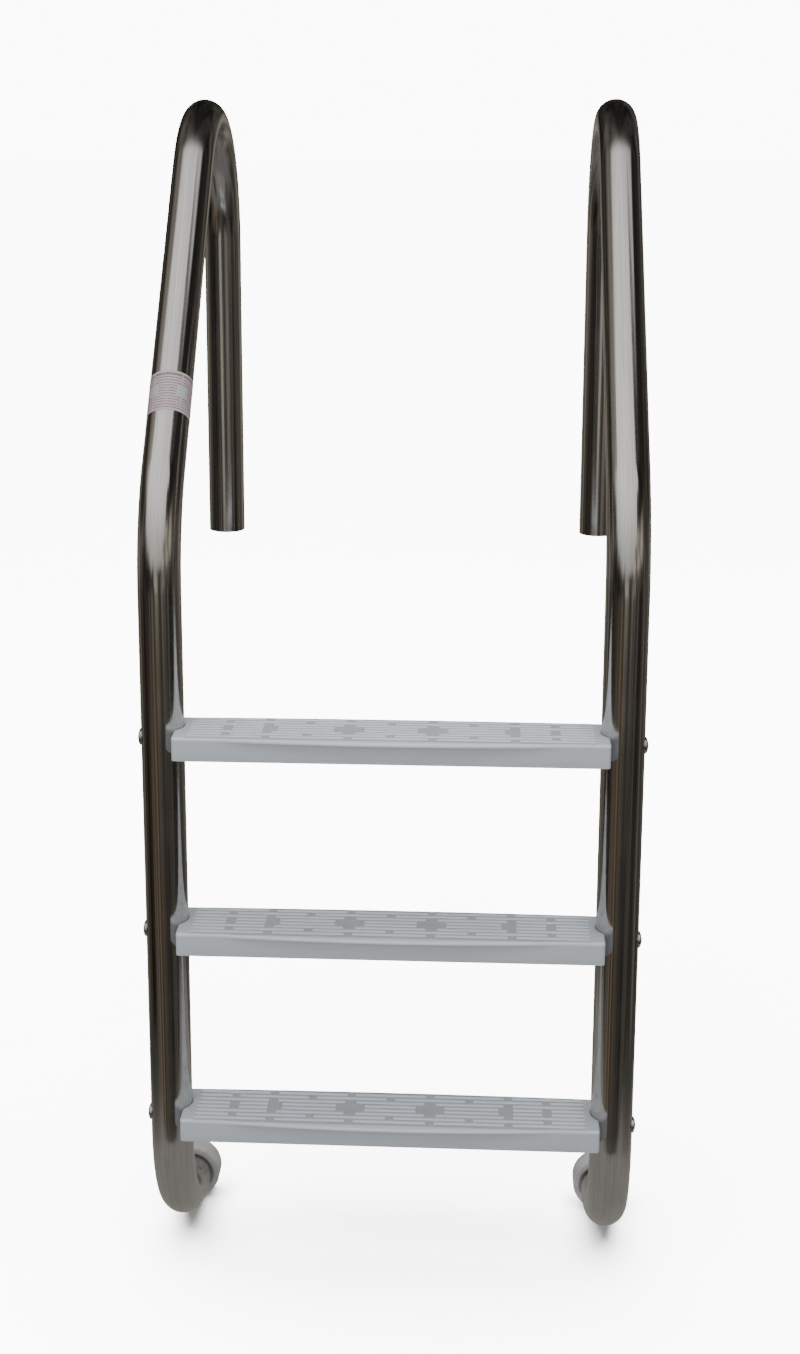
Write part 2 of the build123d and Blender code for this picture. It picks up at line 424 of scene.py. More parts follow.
def fastener_material():
    """Turned stainless: faint mottling and fine scratches."""
    material, tree, shader = new_material("fastener_steel")
    place = object_place(tree)
    mottle = noise(tree, place, 180, 4, 0.6)
    scratches = noise(tree, stretched(tree, place, (1.0, 0.08, 0.08)), 2400, 2)
    colour = blend_colours(tree, remap(tree, mottle, 0.35, 0.65, 0, 1),
                           (0.36, 0.35, 0.335, 1), (0.50, 0.49, 0.475, 1))
    feed(tree, shader, "Base Color", colour)
    feed(tree, shader, "Roughness", remap(tree, mottle, 0.3, 0.7, 0.3, 0.2))
    feed(tree, shader, "Normal", bump(tree, scratches, 0.00002, 0.4))
    shader.inputs["Metallic"].default_value = 1.0
    return material


def inside_rectangle(tree, x, y, centre_x, centre_y, half_x, half_y):
    """1 inside a rectangle and 0 outside it, with a soft edge a fraction of a millimetre wide."""
    across = maths(tree, "ABSOLUTE", maths(tree, "SUBTRACT", x, centre_x))
    along = maths(tree, "ABSOLUTE", maths(tree, "SUBTRACT", y, centre_y))
    inside_x = remap(tree, across, half_x - SOFT_EDGE, half_x + SOFT_EDGE, 1, 0)
    inside_y = remap(tree, along, half_y - SOFT_EDGE, half_y + SOFT_EDGE, 1, 0)
    return maths(tree, "MULTIPLY", inside_x, inside_y)


def stippled_mask(tree, x, y):
    """1 on the pads between the ribs and on both ends of the tread."""
    x = maths(tree, "ABSOLUTE", x)
    mask = remap(tree, x, rib_half_length() - SOFT_EDGE, rib_half_length() + SOFT_EDGE, 0, 1)
    for distance, width, ribs in PADS:
        rows = [ribs] if ribs[1] - ribs[0] == 1 else [(ribs[0],), (ribs[1],)]
        for row in rows:
            centre_y = sum(rib_y(index) for index in row) / len(row)
            half_y = len(row) * RIB_PITCH / 2
            patch = inside_rectangle(tree, x, y, distance, centre_y, width / 2, half_y)
            mask = maths(tree, "MAXIMUM", mask, patch)
    return mask


def groove_shade_and_grime(tree, place, x, y, height):
    """How dark the deck is painted: painted shade, most in the grooves and along its back edge,
    less on its ends, with patchy grime.
    """
    # Painted shade on the deck between the ribs, strongest in the ribbed part and the strip in
    # front of it
    floor = maths(tree, "MULTIPLY", remap(tree, height, -0.0012, -0.0002, 0, 1),
                  remap(tree, height, 0.0001, 0.0006, 1, 0))
    ribs_back = rib_y(0) + RIB_WIDTH / 2
    ribs_front = rib_y(RIB_COUNT - 1) - RIB_WIDTH / 2 - FRONT_SHADE_STRIP
    ribs_middle, ribs_half = (ribs_back + ribs_front) / 2, (ribs_back - ribs_front) / 2
    ribbed = inside_rectangle(tree, x, y, 0.0, ribs_middle, rib_half_length(), ribs_half)
    # Painted shade along the back bevel
    back_edge_shade = maths(tree, "MULTIPLY", remap(tree, y, rib_y(0) + 0.0028, rib_y(0) + 0.0040, 0, 1),
                      remap(tree, height, -0.0034, -0.0026, 0, 1))
    shade_and_grime = maths(tree, "MULTIPLY", floor, remap(tree, ribbed, 0, 1, 0.30, 0.92))
    shade_and_grime = maths(tree, "MAXIMUM", shade_and_grime, maths(tree, "MULTIPLY", back_edge_shade, 0.95))
    patchy = remap(tree, noise(tree, place, 38, 3), 0.3, 0.7, 0.85, 1.0)
    return maths(tree, "MULTIPLY", shade_and_grime, patchy)


def tread_material():
    """Pale blue-grey moulded plastic: fine grain, faint flow marks, painted shade with patchy grime
    on the deck, painted shade on the skirt, stippled pads.
    """
    material, tree, shader = new_material("tread")
    place = stored_place(tree, "tread_place")
    x, y, height = split(tree, place)
    cloud = noise(tree, place, 9, 3)
    flow = noise(tree, stretched(tree, place, (0.15, 1.0, 1.0)), 120, 3)
    grain = noise(tree, place, 2600, 2)
    colour = blend_colours(tree, remap(tree, cloud, 0.35, 0.65, 0, 1),
                           (0.63, 0.685, 0.75, 1), (0.675, 0.73, 0.79, 1))
    flow_marks = remap(tree, flow, 0.4, 0.75, 0, 0.35)
    colour = blend_colours(tree, flow_marks, colour, (0.67, 0.70, 0.72, 1))
    # Painted shade in the grooves, in front of the last rib and along the back bevel, with patchy
    # grime
    shade_and_grime = groove_shade_and_grime(tree, place, x, y, height)
    colour = blend_colours(tree, shade_and_grime, colour, (0.32, 0.345, 0.37, 1))
    on_deck = remap(tree, height, -0.0008, -0.0003, 0, 1)
    mask = maths(tree, "MULTIPLY", stippled_mask(tree, x, y), on_deck)
    cells = add_node(tree, "ShaderNodeTexVoronoi", {"feature": "F1"},
                     {"Vector": place, "Scale": 900.0})
    dot = remap(tree, cells.outputs["Distance"], 0.15, 0.5, 1, 0)
    dark = maths(tree, "MULTIPLY", mask, maths(tree, "MULTIPLY_ADD", dot, -0.42, 0.50))
    colour = blend_colours(tree, dark, colour, (0.36, 0.385, 0.41, 1))
    # Painted shade: below the top edge's rounding, the nose face, skirt and underside are darker
    # than the top, as if less lit
    skirt = remap(tree, height, -NOSE_THICK, -TOP_EDGE_R, 0.44, 0)
    colour = blend_colours(tree, skirt, colour, (0.385, 0.41, 0.435, 1))
    feed(tree, shader, "Base Color", colour)
    feed(tree, shader, "Roughness", remap(tree, mask, 0, 1, 0.42, 0.62))
    stipple = bump(tree, maths(tree, "MULTIPLY", dot, mask), 0.0002, 0.8)
    feed(tree, shader, "Normal", bump(tree, grain, 0.00003, 0.35, stipple))
    shader.inputs["Specular IOR Level"].default_value = 0.45
    return material


def bumper_material():
    """Soft light grey vinyl: dull, grainy and faintly mottled."""
    material, tree, shader = new_material("bumper")
    place = object_place(tree)
    cloud = noise(tree, place, 35, 4, 0.6)
    grain = noise(tree, place, 1500, 3)
    colour = blend_colours(tree, remap(tree, cloud, 0.35, 0.65, 0, 1),
                           (0.44, 0.44, 0.43, 1), (0.54, 0.54, 0.525, 1))
    feed(tree, shader, "Base Color", colour)
    feed(tree, shader, "Roughness", remap(tree, cloud, 0.3, 0.7, 0.62, 0.48))
    feed(tree, shader, "Normal", bump(tree, grain, 0.00008, 0.45))
    return material


def label_material():
    """Clouded film with faded mauve rules in columns, a header bar and a clear panel each side."""
    material, tree, shader = new_material("label")
    place = stored_place(tree, "label_place")
    around, _, along = split(tree, place)
    rule_pitch, column_pitch, whole_way = 0.0036, 0.021, 0.2
    rule = maths(tree, "PINGPONG", along, rule_pitch / 2)
    rule = remap(tree, rule, 0.00060, 0.00095, 1, 0)
    columns = maths(tree, "PINGPONG", maths(tree, "ADD", around, 0.004), column_pitch / 2)
    columns = remap(tree, columns, 0.0005, 0.0010, 0, 1)
    row_ends = noise(tree, stretched(tree, place, (300, 0, 556)), 1.0, 1)
    broken = remap(tree, row_ends, 0.36, 0.42, 0.25, 1)
    panel = inside_rectangle(tree, along, around, 0.0265, 0.017, 0.0068, 0.0065)
    margin = inside_rectangle(tree, along, around, 0.026, 0.0, 0.0235, whole_way)
    header = inside_rectangle(tree, along, around, 0.0478, 0.0, 0.0014, whole_way)
    wear = remap(tree, noise(tree, place, 420, 4, 0.65), 0.35, 0.62, 0.65, 1)
    rule = maths(tree, "MULTIPLY", maths(tree, "MULTIPLY", rule, columns),
                 maths(tree, "MULTIPLY", broken, margin))
    ink = maths(tree, "MAXIMUM", rule, maths(tree, "MULTIPLY", header, columns))
    ink = maths(tree, "MULTIPLY", maths(tree, "MULTIPLY", ink, wear),
                remap(tree, panel, 0, 1, 1, 0.08))
    film = blend_colours(tree, noise(tree, place, 60, 3),
                         (0.39, 0.335, 0.365, 1), (0.48, 0.42, 0.45, 1))
    film = blend_colours(tree, panel, film, (0.38, 0.40, 0.41, 1))
    colour = blend_colours(tree, maths(tree, "MULTIPLY", ink, 0.92), film, (0.17, 0.085, 0.10, 1))
    feed(tree, shader, "Base Color", colour)
    feed(tree, shader, "Roughness", remap(tree, wear, 0, 1, 0.45, 0.3))
    return material


# ---------------------------------------------------------------------------------------
# Rails
# ---------------------------------------------------------------------------------------


def rail_moves():
    """The rail's centre line from toe to deck leg, as straight runs and bends in its plane."""
    knee = math.radians(KNEE_ANGLE)
    toe_end_y = WALL_FACE_Y - BUMPER_WALL
    arch_z = ARCH_TOP_Z - ARCH_R
    slope_rise = arch_z + ARCH_R * math.sin(knee) - KNEE_R * math.sin(knee)
    slope_depth = DECK_LEG_Y - LEG_Y - ARCH_R * (1 + math.cos(knee)) - KNEE_R * (1 - math.cos(knee))
    slope = slope_depth / math.sin(knee)
    leg_top = slope_rise - slope * math.cos(knee)
    return toe_end_y, [
        ("run", toe_end_y - LEG_Y - BOTTOM_BEND_R),
        ("bend", BOTTOM_BEND_R, 90),
        ("run", leg_top - FOOT_Z - BOTTOM_BEND_R),
        ("bend", KNEE_R, KNEE_ANGLE),
        ("run", slope),
        ("bend", ARCH_R, 180 - KNEE_ANGLE),
        ("run", arch_z - DECK_LEG_END_Z),
    ]


def rail_stations():
    """Stations along the centre line: y, z, heading from +Z towards +Y, and distance."""
    y, moves = rail_moves()
    z, heading, distance = FOOT_Z, math.radians(-90), 0.0
    stations = [(y, z, heading, distance)]
    for move in moves:
        if move[0] == "run":
            steps = max(1, math.ceil(move[1] / RUN_STEP))
            length, turn, radius = move[1] / steps, 0.0, 0.0
        else:
            steps = math.ceil(move[2] / BEND_STEP)
            radius, turn = move[1], math.radians(move[2] / steps)
            length = radius * turn
        for _ in range(steps):
            if turn:
                y += radius * (math.cos(heading) - math.cos(heading + turn))
                z += radius * (math.sin(heading + turn) - math.sin(heading))
                heading += turn
            else:
                y += length * math.sin(heading)
                z += length * math.cos(heading)
            distance += length
            stations.append((y, z, heading, distance))
    return stations


def tube_ring(centre_x, station, radius, slide, segments):
    """One ring round the centre line, moved along it by slide: points and their places."""
    y, z, heading, distance = station
    ahead = Vector((0, math.sin(heading), math.cos(heading)))
    outer = Vector((0, -math.cos(heading), math.sin(heading)))
    centre = Vector((centre_x, y, z)) + ahead * slide
    points, places = [], []
    for step in range(segments):
        angle = 2 * math.pi * step / segments
        across, out = math.sin(angle) * radius, math.cos(angle) * radius
        points.append(centre + Vector((across, 0, 0)) + outer * out)
        places.append((across, out, distance + slide))
    return points, places


def tube_uv(mesh, row_count, segments):
    """UVs along and around the tube, for the direction that its fine marks run in."""
    layer = mesh.uv_layers.new(name="tube")
    for face in mesh.polygons:
        row, step = divmod(face.index, segments)
        corners = ((row, step), (row, step + 1), (row + 1, step + 1), (row + 1, step))
        for loop_index, (u, v) in zip(face.loop_indices, corners):
            layer.data[loop_index].uv = (u / row_count, v / segments)


def make_rail(side_name, material):
    """The tube with its outer and inner walls, and the cut ends with the burr taken off."""
    centre_x = SIDES[side_name] * RAIL_X
    stations = rail_stations()
    first, last = stations[0], stations[-1]
    bore = TUBE_R - TUBE_WALL
    rings = [(first, TUBE_R - TUBE_DEBURR, 0.0), (first, TUBE_R, TUBE_DEBURR)]
    rings += [(station, TUBE_R, 0.0) for station in stations[1:-1]]
    rings += [(last, TUBE_R, -TUBE_DEBURR), (last, TUBE_R - TUBE_DEBURR, 0.0)]
    rings += [(last, bore + TUBE_DEBURR, 0.0), (last, bore, -TUBE_DEBURR)]
    rings += [(station, bore, 0.0) for station in reversed(stations[1:-1])]
    rings += [(first, bore, TUBE_DEBURR), (first, bore + TUBE_DEBURR, 0.0)]
    loops, places = [], []
    for station, radius, slide in rings:
        ring_points, ring_places = tube_ring(centre_x, station, radius, slide, TUBE_SEGMENTS)
        loops.append(ring_points)
        places += ring_places
    points = [point for loop in loops for point in loop]
    rail = make_object(f"{side_name}_tube", points, bridge(loops, closed=True))
    store_places(rail.data, "tube_place", places)
    tube_uv(rail.data, len(loops), TUBE_SEGMENTS)
    settle(rail, "rail_steel", material, f"{side_name}_rail")


# ---------------------------------------------------------------------------------------
# Treads
# ---------------------------------------------------------------------------------------


def rib_y(index):
    return FIRST_RIB_Y - index * RIB_PITCH


def rib_half_length():
    return TREAD_LENGTH / 2 - RIB_END_MARGIN


def nose_bow(x):
    """How far the front edge bows out at a distance from the middle."""
    ratio = min(1.0, abs(x) / NOSE_HALF)
    return NOSE_BOW * (1 - ratio**2)


def half_plan(wall, edge, bow):
    """Right half of the tread's plan, from the middle of the front to the middle of the back.

    wall pulls every side in alike, edge pulls the sides in by their own share of the rounding
    of the top, and bow is the share of the nose's bow that the front has.
    """
    half = TREAD_LENGTH / 2 - wall - edge * END_SHARE
    front = -TREAD_FRONT + wall + edge
    back = TREAD_BACK - wall - edge * BACK_SHARE
    cup = TUBE_R + CUP_CLEARANCE + wall + edge * CUP_SHARE
    corner = max(CORNER_R - wall - edge * END_SHARE, SMALLEST_CORNER_R)
    tip = max(CUP_CORNER_R - wall - edge * CUP_SHARE, SMALLEST_CORNER_R)
    tip_x = half - tip
    tip_y = math.sqrt((cup + tip) ** 2 - (RAIL_X - tip_x) ** 2)
    tip_turn = math.degrees(math.atan2(tip_y, RAIL_X - tip_x))
    corner_x = half - corner
    cup_arc = arc(cup, 180 + tip_turn, 180 - tip_turn, CUP_STEPS)
    plan = []
    for step in range(FRONT_STEPS):
        x = corner_x * step / FRONT_STEPS
        plan.append((x, front - bow * nose_bow(x)))
    plan += [(corner_x + x, front + corner + y) for x, y in arc(corner, -90, 0, CORNER_STEPS)]
    plan += [(tip_x + x, -tip_y + y) for x, y in arc(tip, 0, tip_turn, TIP_STEPS)]
    plan += [(RAIL_X + x, y) for x, y in cup_arc[1:-1]]
    plan += [(tip_x + x, tip_y + y) for x, y in arc(tip, -tip_turn, 0, TIP_STEPS)]
    plan += [(corner_x + x, back - corner + y) for x, y in arc(corner, 0, 90, CORNER_STEPS)]
    for step in range(1, BACK_STEPS + 1):
        x = corner_x * (1 - step / BACK_STEPS)
        plan.append((x, back + BACK_BOW * (1 - (x / half) ** 2)))
    return plan


def plan_loop(height, wall=0.0, edge=0.0, bow=0.0):
    """The whole plan as a closed loop, at a height measured from the deck."""
    right = half_plan(wall, edge, bow)
    left = [(-x, y) for x, y in reversed(right[1:-1])]
    return [Vector((x, y, height)) for x, y in right + left]


def tread_loops():
    """Loops from the deck's edge over the nose, down the skirt and up inside to the ceiling."""
    loops = []
    for out, down in arc(TOP_EDGE_R, 90, 0, steps=6):
        loops.append(plan_loop(down - TOP_EDGE_R, edge=TOP_EDGE_R - out, bow=1))
    for out, down in arc(NOSE_LIP_R, 0, -90, steps=4):
        share = 1 - (NOSE_LIP_R - out) / NOSE_BOW
        loops.append(plan_loop(NOSE_LIP_R - NOSE_THICK + down, bow=share))
    for below, share in NOSE_COVE:
        loops.append(plan_loop(-NOSE_THICK - below, bow=share))
    foot = FOOT_EDGE_R
    for out, down in arc(foot, 0, -90, steps=3):
        loops.append(plan_loop(foot - TREAD_HEIGHT + down, wall=foot - out))
    for out, down in arc(foot, -90, 0, steps=3):
        loops.append(plan_loop(foot - TREAD_HEIGHT + down, wall=SKIRT_WALL - foot + out))
    fillet = CEILING_FILLET
    for back, up in arc(fillet, 180, 90, steps=4):
        loops.append(plan_loop(up - DECK_THICK - fillet, wall=SKIRT_WALL + fillet + back))
    return loops


def rib_spans(index):
    """The stretches of one rib, from end to end of the tread, between the pads it meets."""
    gaps = set()
    for distance, width, ribs in PADS:
        if index in ribs:
            gaps |= {(side * distance - width / 2, side * distance + width / 2) for side in (-1, 1)}
    starts = [-rib_half_length()] + [end for _, end in sorted(gaps)]
    ends = [start for start, _ in sorted(gaps)] + [rib_half_length()]
    return list(zip(starts, ends))


def rib_loops(start, end, y):
    """Loops of one rib from its foot on the deck to the flat of its top."""
    loops = []
    for inset, height in RIB_PROFILE:
        half_x, half_y = (end - start) / 2 - inset, RIB_WIDTH / 2 - inset
        corner = RIB_CORNER_R - inset / 2
        loop = []
        for turn, side_x, side_y in ((0, 1, 1), (90, -1, 1), (180, -1, -1), (270, 1, -1)):
            centre_x = (start + end) / 2 + side_x * (half_x - corner)
            centre_y = y + side_y * (half_y - corner)
            for x, dy in arc(corner, turn, turn + 90, steps=3):
                loop.append(Vector((centre_x + x, centre_y + dy, height)))
        loops.append(loop)
    return loops


def add_loops(work, loops):
    """Add bridged loops to a bmesh and return the edges of the first and last loops."""
    rows = [[work.verts.new(point) for point in loop] for loop in loops]
    for lower, upper in zip(rows, rows[1:]):
        for step, vertex in enumerate(lower):
            after = (step + 1) % len(lower)
            work.faces.new((vertex, lower[after], upper[after], upper[step]))
    ends = []
    for row in (rows[0], rows[-1]):
        pairs = zip(row, row[1:] + row[:1])
        ends.append([work.edges.get(pair) or work.edges.new(pair) for pair in pairs])
    return ends


def shell_mesh():
    """The moulding without its webs: ribbed deck, nose, skirt and hollow underside."""
    work = bmesh.new()
    deck_edge, ceiling_edge = add_loops(work, tread_loops())
    for index in range(RIB_COUNT):
        for start, end in rib_spans(index):
            foot, crown = add_loops(work, rib_loops(start, end, rib_y(index)))
            deck_edge = deck_edge + foot
            bmesh.ops.contextual_create(work, geom=crown)
    bmesh.ops.triangle_fill(work, use_beauty=True, edges=deck_edge)
    bmesh.ops.triangle_fill(work, use_beauty=True, edges=ceiling_edge)
    bmesh.ops.remove_doubles(work, verts=work.verts, dist=MERGE_DISTANCE)
    bmesh.ops.recalc_face_normals(work, faces=work.faces)
    mesh = bpy.data.meshes.new("tread_shell")
    work.to_mesh(mesh)
    work.free()
    return mesh


def block_mesh(low, high):
    """A closed block between two corners, for the webs and bosses that join the shell."""
    work = bmesh.new()
    size = Vector(high) - Vector(low)
    centre = (Vector(high) + Vector(low)) / 2
    place = Matrix.Translation(centre) @ Matrix.Diagonal(size.to_4d())
    bmesh.ops.create_cube(work, size=1, matrix=place)
    mesh = bpy.data.meshes.new("block")
    work.to_mesh(mesh)
    work.free()
    return mesh


def rod_mesh(radius, start, end, height):
    """A closed rod along X, to cut a bolt hole with."""
    loops = []
    for x in (start, end):
        ring = circle(radius, BOLT_HOLE_SEGMENTS)
        loops.append([Vector((x, a, height + b)) for a, b in ring])
    work = bmesh.new()
    for edges in add_loops(work, loops):
        bmesh.ops.contextual_create(work, geom=edges)
    bmesh.ops.recalc_face_normals(work, faces=work.faces)
    mesh = bpy.data.meshes.new("rod")
    work.to_mesh(mesh)
    work.free()
    return mesh


def combine(base, tools, operation):
    """Join or cut a mesh with others by exact booleans, and return the new mesh."""
    target = bpy.data.objects.new("combine_base", base)
    bpy.context.scene.collection.objects.link(target)
    helpers = []
    for tool in tools:
        helper = bpy.data.objects.new("combine_tool", tool)
        bpy.context.scene.collection.objects.link(helper)
        helpers.append(helper)
        modifier = target.modifiers.new("combine", "BOOLEAN")
        modifier.object = helper
        modifier.operation = operation
        modifier.solver = "EXACT"
    evaluated = target.evaluated_get(bpy.context.evaluated_depsgraph_get())
    result = bpy.data.meshes.new_from_object(evaluated)
    for helper in [target] + helpers:
        bpy.data.objects.remove(helper)
    return result


def tread_mesh():
    """The whole moulding: shell, cross webs, bolt bosses and bolt holes."""
    ceiling = -DECK_THICK
    front, back = -TREAD_FRONT + SKIRT_WALL / 2, TREAD_BACK - SKIRT_WALL / 2
    blocks = []
    for x in WEB_XS:
        low = (x - WEB_THICK / 2, front, ceiling - WEB_DROP)
        blocks.append(block_mesh(low, (x + WEB_THICK / 2, back, ceiling / 2)))
    cup_face = RAIL_X - TUBE_R - CUP_CLEARANCE
    for side in SIDES.values():
        ends = sorted((side * (cup_face - BOSS_REACH), side * (cup_face - SKIRT_WALL / 2)))
        low = (ends[0], -BOSS_WIDTH / 2, -TREAD_HEIGHT)
        blocks.append(block_mesh(low, (ends[1], BOSS_WIDTH / 2, ceiling / 2)))
    holes = []
    for side in SIDES.values():
        ends = sorted((side * (cup_face - 2 * BOSS_REACH), side * RAIL_X))
        holes.append(rod_mesh(BOLT_HOLE_R, ends[0], ends[1], -BOLT_DROP))
    mesh = combine(shell_mesh(), blocks, "UNION")
    mesh = combine(mesh, holes, "DIFFERENCE")
    finish_mesh(mesh, 30)
    store_places(mesh, "tread_place", [vertex.co.copy() for vertex in mesh.vertices])
    return mesh


def make_treads(material):
    """The three treads, alike, each in its place between the rails."""
    mesh = tread_mesh()
    for level in LEVELS:
        _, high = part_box(f"{level}_tread")
        level_mesh = mesh.copy()
        level_mesh.transform(Matrix.Translation((0, LEG_Y, high.z - RIB_HEIGHT)))
        tread = bpy.data.objects.new(f"{level}_step", level_mesh)
        bpy.context.scene.collection.objects.link(tread)
        settle(tread, "tread", material, f"{level}_tread")


# ---------------------------------------------------------------------------------------
# Bumpers and label
# ---------------------------------------------------------------------------------------


def make_bumper(side_name, material):
    """A soft cup turned about the toe's axis: rounded face and rim, mouth and bore."""
    low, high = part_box(f"{side_name}_bumper")
    radius, length = (high.x - low.x) / 2, high.y - low.y
    bore, lip = TUBE_R + BUMPER_CLEARANCE, BUMPER_LIP_R
    profile = [(ring, length) for ring in BUMPER_FACE_RINGS]
    profile += [(radius - BUMPER_FACE_R + r, length - BUMPER_FACE_R + y)
                for r, y in arc(BUMPER_FACE_R, 90, 0, steps=8)]
    profile += [(radius - BUMPER_RIM_R + r, BUMPER_RIM_R + y)
                for r, y in arc(BUMPER_RIM_R, 0, -90, steps=6)]
    profile += [(BUMPER_MOUTH_R + lip + r, lip + y) for r, y in arc(lip, -90, -180, steps=4)]
    profile += [(BUMPER_MOUTH_R, BUMPER_MOUTH_DEPTH)]
    profile += [(bore, BUMPER_MOUTH_DEPTH + BUMPER_BORE_CHAMFER)]
    profile += [(ring, length - BUMPER_WALL) for ring in (bore,) + BUMPER_END_RINGS]
    centre_x, centre_z = (low.x + high.x) / 2, (low.z + high.z) / 2
    loops = []
    for r, y in profile:
        ring = circle(r, BUMPER_SEGMENTS)
        loops.append([Vector((centre_x + a, low.y + y, centre_z + b)) for a, b in ring])
    points = [point for loop in loops for point in loop]
    bumper = make_object(f"{side_name}_bumper_cup", points, bridge(loops))
    settle(bumper, "bumper", material, f"{side_name}_bumper")


def make_label(material):
    """A thin wrap all the way round the left rail's slope.

    Its places run from the outer line of the tube both ways round to the inner one, so that
    both halves are printed alike.
    """
    low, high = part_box("rail_label")
    knee = math.radians(KNEE_ANGLE)
    ahead = Vector((0, math.sin(knee), math.cos(knee)))
    outer = Vector((0, -math.cos(knee), math.sin(knee)))
    centre = (low + high) / 2
    span = (high.y - low.y - 2 * (TUBE_R + LABEL_LIFT) * math.cos(knee)) / math.sin(knee)
    inner, skin, edge = TUBE_R + LABEL_GAP, TUBE_R + LABEL_LIFT, LABEL_EDGE
    section = [(inner, 0.0), (skin - edge, 0.0), (skin, edge), (skin, span / 2),
               (skin, span - edge), (skin - edge, span), (inner, span)]
    loops, places = [], []
    for radius, along in section:
        slide = ahead * (along - span / 2)
        loop = []
        for step, (out, across) in enumerate(circle(radius, LABEL_SEGMENTS)):
            loop.append(centre + slide + outer * out + Vector((across, 0, 0)))
            around = 2 * math.pi * TUBE_R * (step / LABEL_SEGMENTS)
            if step > LABEL_SEGMENTS / 2:
                around = 2 * math.pi * TUBE_R - around
            places.append((around, 0.0, along))
        loops.append(loop)
    points = [point for loop in loops for point in loop]
    label = make_object("wrap_label", points, bridge(loops, closed=True))
    store_places(label.data, "label_place", places)
    settle(label, "label", material, "rail_label")


# ---------------------------------------------------------------------------------------
# Studio: floor, lights, surroundings and camera
# ---------------------------------------------------------------------------------------


def make_sheet(name, half, front, back, height):
    """A flat rectangle, centred across."""
    corners = [(-half, front), (half, front), (half, back), (-half, back)]
    return make_object(name, [(x, y, height) for x, y in corners], [(0, 1, 2, 3)])


def make_floor():
    """A wide pale floor, which the steel doesn't mirror."""
    floor = make_sheet("studio_floor", FLOOR_REACH, -FLOOR_REACH, FLOOR_REACH, 0)
    material, tree, shader = new_material("studio_floor")
    place = object_place(tree)
    colour = blend_colours(tree, noise(tree, place, 3),
                           (0.86, 0.86, 0.86, 1), (0.88, 0.88, 0.88, 1))
    feed(tree, shader, "Base Color", colour)
    shader.inputs["Roughness"].default_value = 0.9
    shader.inputs["Specular IOR Level"].default_value = 0.0
    floor.data.materials.append(material)
    floor.visible_glossy = False
    floor.visible_diffuse = False
    return floor


def make_area(name, place, size, power):
    """A soft rectangular light that shines on the middle of the ladder and isn't mirrored."""
    target = (0, 0, 0.6)
    light = bpy.data.lights.new(name, "AREA")
    light.shape = "RECTANGLE"
    light.size, light.size_y = size
    light.energy = power
    lamp = bpy.data.objects.new(name, light)
    lamp.location = place
    lamp.rotation_euler = (Vector(target) - Vector(place)).to_track_quat("-Z", "Y").to_euler()
    lamp.visible_glossy = False
    bpy.context.scene.collection.objects.link(lamp)


def make_lights(floor):
    """Soft light from above, in front and behind for the object, and a wash for the floor."""
    make_area("overhead", (0.2, -0.6, 3.4), size=(3.0, 3.0), power=84)
    make_area("front", (-0.8, -3.2, 1.6), size=(2.4, 2.0), power=42)
    make_area("behind", (0.5, 3.0, 1.8), size=(2.4, 2.0), power=30)
    wash = bpy.data.lights.new("floor_wash", "SUN")
    wash.energy = 38.0
    wash.angle = math.radians(70)
    lamp = bpy.data.objects.new("floor_wash", wash)
    lamp.rotation_euler = (math.radians(8), math.radians(-6), 0)
    lamp.visible_glossy = False
    bpy.context.scene.collection.objects.link(lamp)
    only_floor = bpy.data.collections.new("floor_only")
    only_floor.objects.link(floor)
    lamp.light_linking.receiver_collection = only_floor


def by_bearing(tree, bearing, stops):
    """A grey level that follows the stops round the horizon."""
    ramp = add_node(tree, "ShaderNodeValToRGB", {}, {"Fac": bearing})
    while len(ramp.color_ramp.elements) < len(stops):
        ramp.color_ramp.elements.new(0.5)
    for element, (degrees, level) in zip(ramp.color_ramp.elements, stops):
        element.position = 0.5 + degrees / 360
        element.color = (level, level, level, 1)
    return ramp.outputs["Color"]


def sky_share(tree, x, y, z, bearing):
    """1 where the sky shows, over a ragged skyline and in front of the zenith."""
    reach = maths(tree, "MULTIPLY", maths(tree, "MULTIPLY", x, x), 0.32)
    front = remap(tree, maths(tree, "SUBTRACT", reach, y), -0.26, 0.18, 0, 1)
    front = maths(tree, "POWER", front, 2.0)
    heights = tuple((degrees, height / 90) for degrees, height in SKYLINE)
    skyline = maths(tree, "MULTIPLY", by_bearing(tree, bearing, heights), math.pi / 2)
    ragged = noise(tree, combined(tree, bearing), 26, 3, 0.6)
    ragged = maths(tree, "MULTIPLY_ADD", ragged, 0.42, -0.21)
    above = maths(tree, "SUBTRACT", maths(tree, "ARCSINE", z), maths(tree, "ADD", skyline, ragged))
    soft = remap(tree, x, -0.6, 0.4, 0.13, 0.05)
    share = maths(tree, "MULTIPLY_ADD", maths(tree, "DIVIDE", above, soft), 0.5, 0.5)
    return maths(tree, "MULTIPLY", front, remap(tree, share, 0, 1, 0, 1))


